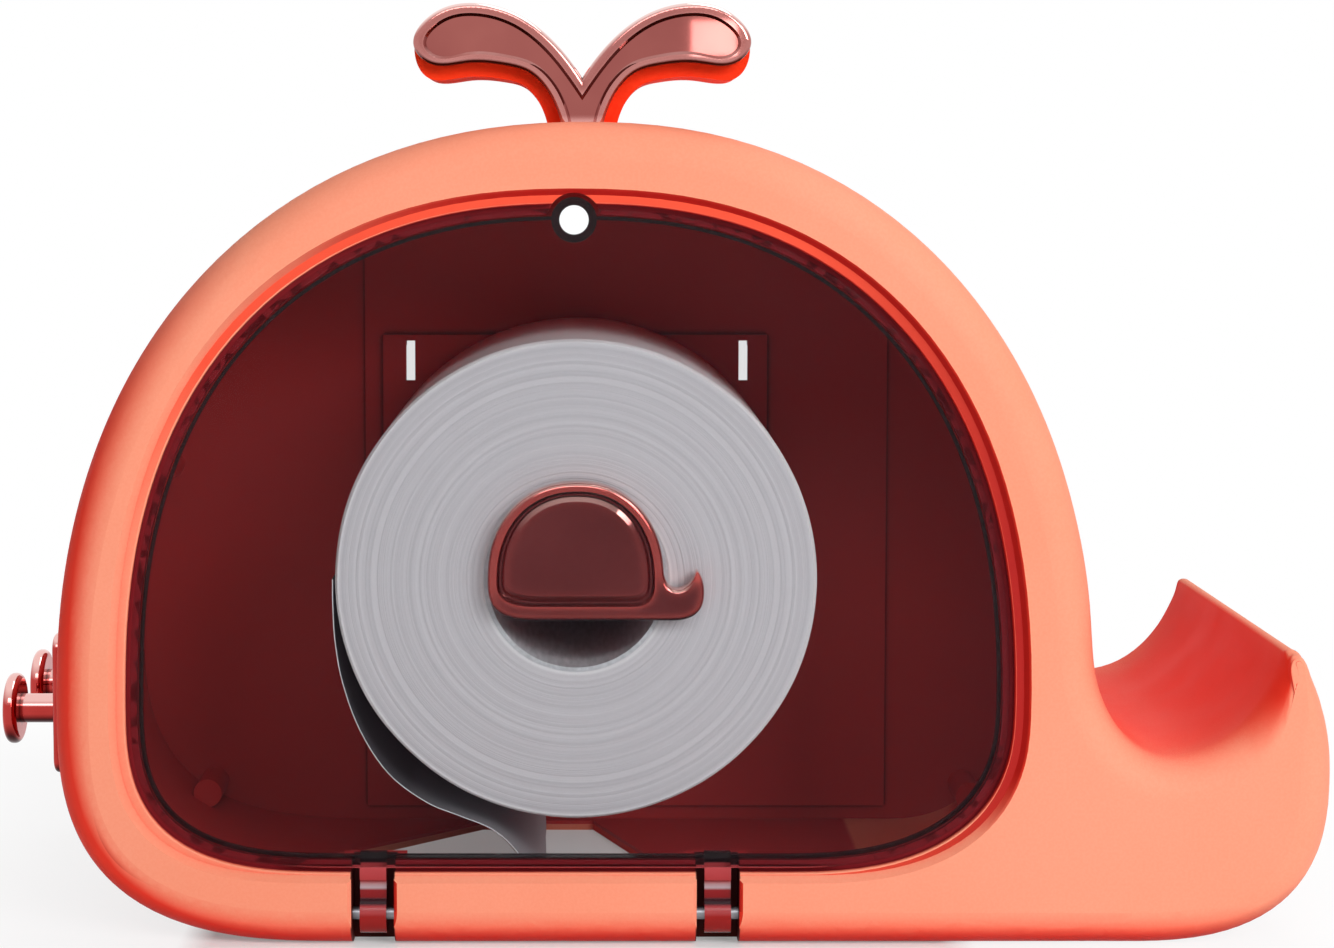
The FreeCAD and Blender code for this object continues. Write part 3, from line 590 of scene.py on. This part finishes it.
def lathe(profile, steps):
    """A ring-shaped mesh from a closed profile of (radius, y), turned about the roll's axis."""
    bm = bmesh.new()
    rings = []
    for i in range(steps):
        angle = 2 * math.pi * i / steps
        rings.append([bm.verts.new((roll_x + radius * math.cos(angle), y,
                                    roll_z + radius * math.sin(angle)))
                      for radius, y in profile])
    count = len(profile)
    for i in range(steps):
        here = rings[i]
        after = rings[(i + 1) % steps]
        for j in range(count):
            k = (j + 1) % count
            bm.faces.new((here[j], here[k], after[k], after[j]))
    bmesh.ops.recalc_face_normals(bm, faces=bm.faces)
    return finished_mesh("lathe", bm)


ROLL_SOFT = 0.0012      # rounding of the roll's edges
ROLL_TURNS = 46         # rings on each end of the roll
TURN_PROUD = 0.00028    # how far a turn may stand out
TURN_WAVES = 900        # waves per metre across the turns
ROLL_DENT = 0.0004      # depth of the dents in the roll's side
ROLL_DENTS = 45         # dents per metre
ROLL_STEPS = 192        # steps round the roll
EDGE_STEPS = 5
SIDE_STEPS = 24


def end_face(y, out):
    """One end of the roll from the core to the rounded edge; out is -1 in front, 1 behind."""
    points = []
    width = roll_radius - ROLL_SOFT - core_radius
    for i in range(ROLL_TURNS + 1):
        radius = core_radius + width * i / ROLL_TURNS
        lift = noise.noise(Vector((radius * TURN_WAVES, out * 7.0, 0.5)))
        points.append((radius, y - out * TURN_PROUD * (0.5 + 0.5 * lift)))
    return points


def make_roll():
    """The wound tissue: wavy turns on both ends and a softly dented outside."""
    front = end_face(roll_low.y, -1)
    back = end_face(roll_high.y, 1)
    edge = []
    for i in range(1, EDGE_STEPS):
        angle = math.pi / 2 * i / EDGE_STEPS
        edge.append((roll_radius - ROLL_SOFT + ROLL_SOFT * math.sin(angle),
                     roll_low.y + ROLL_SOFT * (1 - math.cos(angle))))
    length = roll_high.y - roll_low.y - 2 * ROLL_SOFT
    side = [(roll_radius, roll_low.y + ROLL_SOFT + length * i / SIDE_STEPS)
            for i in range(SIDE_STEPS + 1)]
    far_edge = [(radius, roll_low.y + roll_high.y - y) for radius, y in edge[::-1]]
    mesh = lathe(front + edge + side + far_edge + back[::-1], ROLL_STEPS)
    for vertex in mesh.vertices:
        out = Vector((vertex.co.x - roll_x, 0, vertex.co.z - roll_z))
        if out.length > roll_radius - ROLL_SOFT / 2:
            dent = noise.noise(vertex.co * ROLL_DENTS) * 0.5 + 0.5
            vertex.co -= out.normalized() * ROLL_DENT * dent
    return new_piece("tissue_roll", mesh, roll_material(), "roll")


roll = make_roll()
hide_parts("paper_roll")

# Angle round the roll in degrees, and how far the loose paper hangs off it there.
WEB_SLACK = [(180, 0.0), (186, 0.0003), (194.4, 0.0014), (204, 0.0031), (215.2, 0.0053),
             (226.2, 0.0071), (236.3, 0.007), (243.9, 0.006), (251.3, 0.0061)]
WEB_GAP = 0.0005        # between the roll and the paper where it leaves
WEB_FALL = (0.8, 0.5, 0.25, 0.0)    # height left to fall at each point below the roll
WEB_CURVE = 2.7         # how sharply the paper turns down to the outlet
WEB_STEPS = 5           # steps between two points of its line
WEB_ACROSS = 64         # steps across its width
WEB_THICKNESS = 0.0002
EXIT_INSET = 0.009      # the paper leaves the floor this far left of the roll's axis
RIPPLE = 0.0009         # height of its ripples at the free end
RIPPLES_ACROSS = 55     # ripples per metre of its width
RIPPLES_ALONG = 28      # and of its length
FLARE = 0.00045         # how far its front edge turns out
FLARE_WIDTH = 0.0025


def smooth_line(points, steps):
    """A Catmull-Rom curve through the points, with even steps between each two."""
    line = []
    for i in range(len(points) - 1):
        before = points[max(i - 1, 0)]
        first = points[i]
        second = points[i + 1]
        after = points[min(i + 2, len(points) - 1)]
        for step in range(steps):
            t = step / steps
            line.append(0.5 * (2 * first + (second - before) * t
                               + (2 * before - 5 * first + 4 * second - after) * t ** 2
                               + (3 * first - before - 3 * second + after) * t ** 3))
    line.append(points[-1])
    return line


def web_line():
    """The loose paper's line, seen from the front: off the roll's left side, then down."""
    points = []
    for angle, slack in WEB_SLACK:
        turn = math.radians(angle)
        reach = roll_radius + WEB_GAP + slack
        points.append(Vector((roll_x + reach * math.cos(turn), 0,
                              roll_z + reach * math.sin(turn))))
    last = points[-1]
    exit_x = roll_x - EXIT_INSET
    for left in WEB_FALL:
        points.append(Vector((exit_x + (last.x - exit_x) * left ** WEB_CURVE, 0,
                              web_low.z + (last.z - web_low.z) * left)))
    return smooth_line(points, WEB_STEPS)


def make_web():
    """A thin sheet of tissue with shallow ripples and a front edge that turns out a little."""
    line = web_line()
    length = sum((b - a).length for a, b in zip(line, line[1:]))
    width = web_high.y - web_low.y
    bm = bmesh.new()
    rows = []
    gone = 0.0
    for i, point in enumerate(line):
        ahead = line[min(i + 1, len(line) - 1)] - line[max(i - 1, 0)]
        out = Vector((ahead.z, 0, -ahead.x)).normalized()
        if i:
            gone += (point - line[i - 1]).length
        free = min(gone / length, 1.0) ** 1.5
        row = []
        for j in range(WEB_ACROSS + 1):
            share = j / WEB_ACROSS
            y = web_low.y + width * share
            ripple = noise.noise(Vector((y * RIPPLES_ACROSS, gone * RIPPLES_ALONG, 3.0)))
            ripple = ripple * 0.5 + 0.5
            flare = FLARE * max(0.0, 1 - share * width / FLARE_WIDTH) ** 2
            move = (RIPPLE * ripple + flare) * free + flare * 0.5
            row.append(bm.verts.new(point + out * -move + Vector((0, y, 0))))
        rows.append(row)
    for i in range(len(rows) - 1):
        for j in range(WEB_ACROSS):
            bm.faces.new((rows[i][j], rows[i][j + 1], rows[i + 1][j + 1], rows[i + 1][j]))
    bmesh.ops.recalc_face_normals(bm, faces=bm.faces)
    mesh = finished_mesh("web", bm)
    piece = new_piece("tissue_end", mesh, web_material(), "holder")
    thick = piece.modifiers.new("thickness", "SOLIDIFY")
    thick.thickness = WEB_THICKNESS
    thick.offset = 0.0
    return piece


web = make_web()
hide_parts("paper_web")

# ---- Floor, light and camera ----
AMBIENT = 0.135         # the world's light on the object
OUTLET_REACH = 0.09     # from the roll's axis: the floor seen through the outlet lies within
OUTLET_WHITE = 0.24     # share of plain white in that part of the floor
NEAR_WHITE = 0.8        # share of it beside the object
WHITE_REACH = 0.16      # distance from which the floor is all plain white
FLOOR_HALF = 4.0        # half the floor's width
BEND_START = 1.2        # where the floor begins to bend up
BEND_RADIUS = 0.8
BEND_STEPS = 12
BACKDROP_TOP = 4.0


def seen_directly(tree):
    """1 for rays from the camera, from gloss and through glass, and 0 for light on things."""
    path = tree.nodes.new("ShaderNodeLightPath")
    total = path.outputs["Is Camera Ray"]
    for name in ("Is Glossy Ray", "Is Transmission Ray"):
        node = tree.nodes.new("ShaderNodeMath")
        node.operation = "MAXIMUM"
        tree.links.new(total, node.inputs[0])
        tree.links.new(path.outputs[name], node.inputs[1])
        total = node.outputs[0]
    return total


def floor_material():
    """A pale floor that keeps the object's shadow and turns to plain white further off."""
    m = Nodes("floor")
    m.paint(m.mix(m.patches(30.0, 2.0, spread=0.2), FLOOR, WHITE))
    m.set(Roughness=0.9, Specular_IOR_Level=0.1)
    glow = m.add("ShaderNodeEmission")
    glow.inputs["Color"].default_value = WHITE
    glow.inputs["Strength"].default_value = 1.0
    across, depth, _ = m.split()
    middle_y = (cad_bounds[0].y + cad_bounds[1].y) / 2
    half_depth = (cad_bounds[1].y - cad_bounds[0].y) / 2
    beside = m.math("SUBTRACT", m.distance(across, roll_x), OUTLET_REACH)
    before = m.math("SUBTRACT", m.distance(depth, middle_y), half_depth)
    away = m.math("MAXIMUM", beside, before)
    soft = 0.004
    share = m.math("ADD", m.ramp(away, -soft, soft, OUTLET_WHITE, NEAR_WHITE),
                   m.ramp(away, soft, WHITE_REACH, 0.0, 1.0 - NEAR_WHITE))
    blend = m.add("ShaderNodeMixShader")
    m.link(m.times(share, seen_directly(m.tree)), blend.inputs["Fac"])
    m.link(m.shader.outputs["BSDF"], blend.inputs[1])
    m.link(glow.outputs["Emission"], blend.inputs[2])
    m.link(blend.outputs["Shader"], m.output.inputs["Surface"])
    return m.material


def make_floor():
    """A seamless pale floor that bends up into a backdrop."""
    bm = bmesh.new()
    profile = [(-FLOOR_HALF, 0.0), (BEND_START, 0.0)]
    for i in range(1, BEND_STEPS + 1):
        angle = math.pi / 2 * i / BEND_STEPS
        profile.append((BEND_START + BEND_RADIUS * math.sin(angle),
                        BEND_RADIUS * (1 - math.cos(angle))))
    profile.append((BEND_START + BEND_RADIUS, BACKDROP_TOP))
    rows = [[bm.verts.new((x, y, z + floor_z)) for y, z in profile]
            for x in (-FLOOR_HALF, FLOOR_HALF)]
    for i in range(len(profile) - 1):
        bm.faces.new((rows[0][i], rows[1][i], rows[1][i + 1], rows[0][i + 1]))
    mesh = finished_mesh("floor", bm)
    floor = bpy.data.objects.new("floor", mesh)
    bpy.context.scene.collection.objects.link(floor)
    mesh.materials.append(floor_material())


make_floor()


def add_area(name, place, target, size, power):
    """A rectangular lamp at place, turned to its target, with its power in watts."""
    light = bpy.data.lights.new(name, "AREA")
    light.shape = "RECTANGLE"
    light.size, light.size_y = size
    light.energy = power
    lamp = bpy.data.objects.new(name, light)
    bpy.context.scene.collection.objects.link(lamp)
    lamp.location = place
    lamp.rotation_euler = (Vector(target) - Vector(place)).to_track_quat("-Z", "Y").to_euler()


object_middle = (0, 0, 0.1)
add_area("key", (0.85, -1.25, 0.75), object_middle, (0.8, 0.7), 16.5)
add_area("front", (-0.1, -1.3, 0.95), object_middle, (0.9, 0.4), 4.8)
add_area("top", (0.35, 0.1, 1.3), object_middle, (0.8, 0.6), 4.6)
# A small faint lamp that is mirrored as a pale patch in the spout's right leaf.
add_area("glint", (0.08, -1.4, 0.282), (0.014, -0.047, 0.213), (0.0335, 0.0257), 0.0125)

world = bpy.data.worlds.new("studio")
world.use_nodes = True
bpy.context.scene.world = world
background = world.node_tree.nodes["Background"]
background.inputs["Color"].default_value = WHITE
level = world.node_tree.nodes.new("ShaderNodeMapRange")
world.node_tree.links.new(seen_directly(world.node_tree), level.inputs["Value"])
level.inputs["To Min"].default_value = AMBIENT
level.inputs["To Max"].default_value = 1.0
world.node_tree.links.new(level.outputs["Result"], background.inputs["Strength"])

# The camera's place and lens follow from the lines that run to the wall.
camera_data = bpy.data.cameras.new("camera")
camera_data.sensor_width = 36.0
camera_data.lens = 72.0
camera_data.shift_x = 0.0629
camera_data.shift_y = -0.0838
camera = bpy.data.objects.new("camera", camera_data)
camera.location = (-0.0166, -0.6733, 0.1809)
camera.rotation_euler = (math.radians(90 - 4), 0, 0)
bpy.context.scene.collection.objects.link(camera)
bpy.context.scene.camera = camera

bpy.context.scene.view_settings.view_transform = "Standard"
